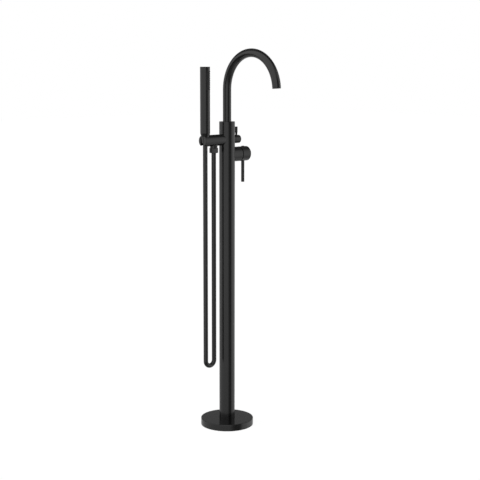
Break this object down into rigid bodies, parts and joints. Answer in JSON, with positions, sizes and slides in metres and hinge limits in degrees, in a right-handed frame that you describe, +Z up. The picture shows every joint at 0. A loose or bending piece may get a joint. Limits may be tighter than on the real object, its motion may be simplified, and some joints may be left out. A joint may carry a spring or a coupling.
{
  "type": "floor standing bath filler",
  "caption": "Tall floor standing bath filler with a swan neck spout, a side lever mixer, a diverter knob and a slim hand shower on a hanging hose.",
  "frame": {"origin": "centre of the foot's underside, on the column's axis, at floor level", "axes": "+Z up along the column; the spout points to -Y; the hand shower hangs on the -X side and the mixer and diverter knob stand on the +X side"},
  "size_m": [0.1827, 0.3114, 1.1659],
  "materials": {
    "black_finish": "satin black powder coat",
    "hose_sheath": "satin black sheath",
    "plate_steel": "satin",
    "fastener_steel": "satin",
    "brass": "as cast",
    "copper_pipe": "drawn",
    "pale_plastic": "matte",
    "dark_plastic": "matte",
    "seal_rubber": "matte",
    "spray_rubber": "matte",
    "index_plastic": "gloss, half blue and half red"
  },
  "bodies": {
    "stand": {"floor_plate": "plate_steel", "base_cover": "black_finish", "base_seal": "seal_rubber", "column_set_screws": "fastener_steel", "column_tube": "black_finish", "hot_inlet": "brass", "cold_inlet": "brass", "hot_riser": "copper_pipe", "cold_riser": "copper_pipe", "lower_pipe_spacer": "pale_plastic", "upper_pipe_spacer": "pale_plastic", "valve_body": "brass", "mixer_sleeve": "black_finish", "mixer_cartridge": "dark_plastic", "cartridge_nut": "brass", "mixer_bonnet": "black_finish", "diverter_cartridge": "dark_plastic", "cross_arm": "black_finish", "holder_liner": "dark_plastic", "hose_outlet": "black_finish", "outlet_check_valve": "pale_plastic", "outlet_washer": "seal_rubber", "hose_end_outlet": "brass", "hose_nut": "black_finish", "shower_hose": "hose_sheath", "spout_socket": "brass", "spout_bush": "pale_plastic"},
    "spout": {"spout_tube": "black_finish", "lower_spout_seal": "seal_rubber", "upper_spout_seal": "seal_rubber", "spout_retainer": "fastener_steel", "aerator_ring": "black_finish", "aerator_insert": "dark_plastic"},
    "mixer_turn": {"cartridge_turret": "pale_plastic", "stem_pin": "fastener_steel"},
    "mixer_handle": {"cartridge_stem": "fastener_steel", "handle_cap": "black_finish", "handle_lever": "black_finish", "handle_screw": "fastener_steel", "index_plug": "index_plastic"},
    "diverter": {"diverter_spindle": "brass", "diverter_knob": "black_finish", "diverter_lever": "black_finish"},
    "handset": {"handset_body": "black_finish", "handset_cap": "black_finish", "handset_core": "dark_plastic", "spray_face": "spray_rubber", "conical_nut": "black_finish", "hose_end_handset": "brass", "handset_washer": "seal_rubber"}
  },
  "joints": [
    {"name": "spout_swivel", "type": "hinge", "parent": "stand", "child": "spout", "pos_m": [0, 0, 0.9482], "axis": [0, 0, 1], "range_deg": [-60, 60]},
    {"name": "handle_turn", "type": "hinge", "parent": "stand", "child": "mixer_turn", "pos_m": [0.0328, 0, 0.8478], "axis": [1, 0, 0], "range_deg": [-45, 45]},
    {"name": "handle_tilt", "type": "hinge", "parent": "mixer_turn", "child": "mixer_handle", "pos_m": [0.0328, 0, 0.8478], "axis": [0, -1, 0], "range_deg": [0, 20]},
    {"name": "diverter_turn", "type": "hinge", "parent": "stand", "child": "diverter", "pos_m": [0, 0, 0.8936], "axis": [1, 0, 0], "range_deg": [0, 90]},
    {"name": "handset_lift", "type": "slide", "parent": "stand", "child": "handset", "axis": [0, 0, 1], "range_m": [0, 0.06]}
  ]
}
